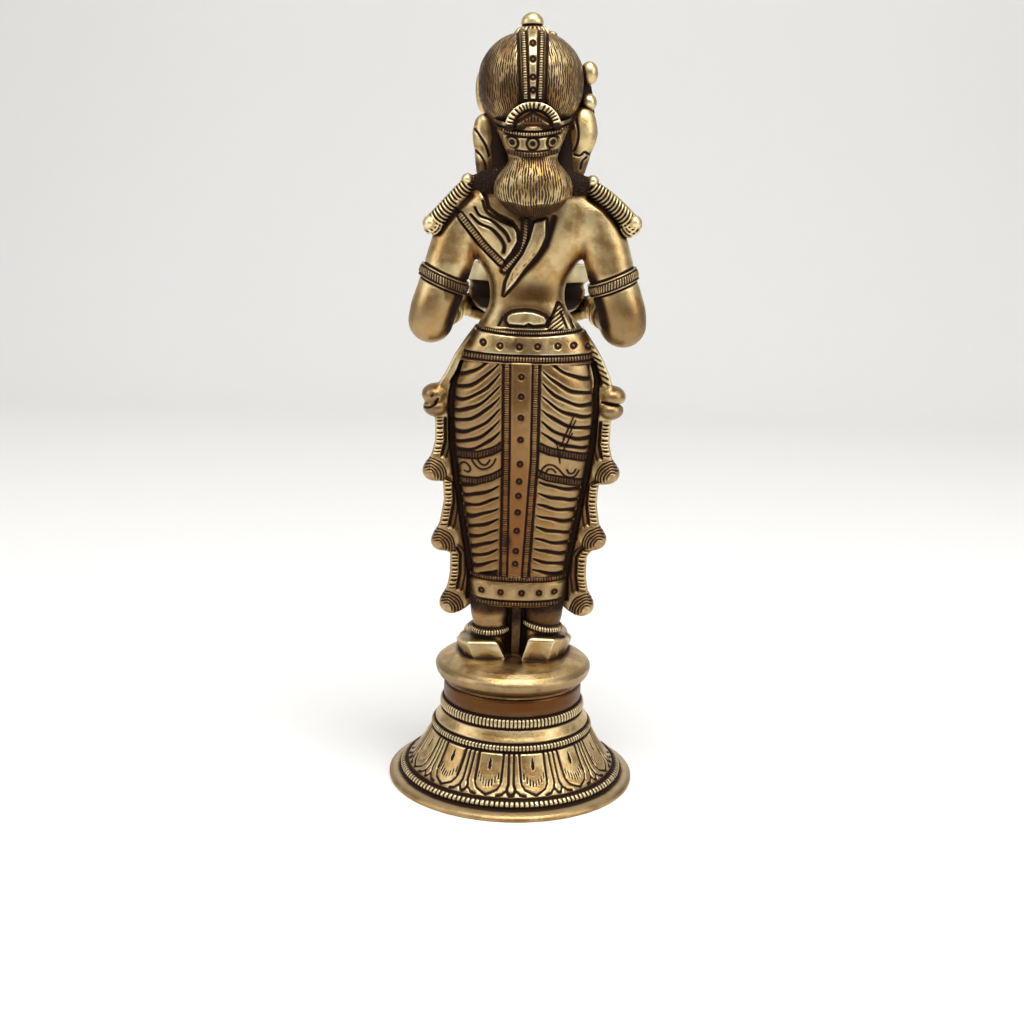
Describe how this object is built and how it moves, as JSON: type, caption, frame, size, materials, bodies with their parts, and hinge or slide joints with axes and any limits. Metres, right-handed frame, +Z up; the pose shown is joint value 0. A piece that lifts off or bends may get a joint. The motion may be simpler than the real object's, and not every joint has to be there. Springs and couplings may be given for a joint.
{
  "type": "lamp statue",
  "caption": "Cast brass standing woman in a pleated skirt who holds an oil lamp bowl before her, on a flared bell-shaped foot with a band of lotus petals.",
  "frame": {"origin": "on the floor, at the centre of the round foot's underside", "axes": "+Z up, the figure faces -Y, its left side is +X"},
  "size_m": [0.1264, 0.1264, 0.3799],
  "materials": {
    "aged_brass": "polished pale gold on raised parts, warm ochre on flats, near-black patina in the engraving, semi-gloss"
  },
  "bodies": {
    "root": {"figure": "aged_brass", "lotus_foot": "aged_brass"}
  },
  "joints": []
}
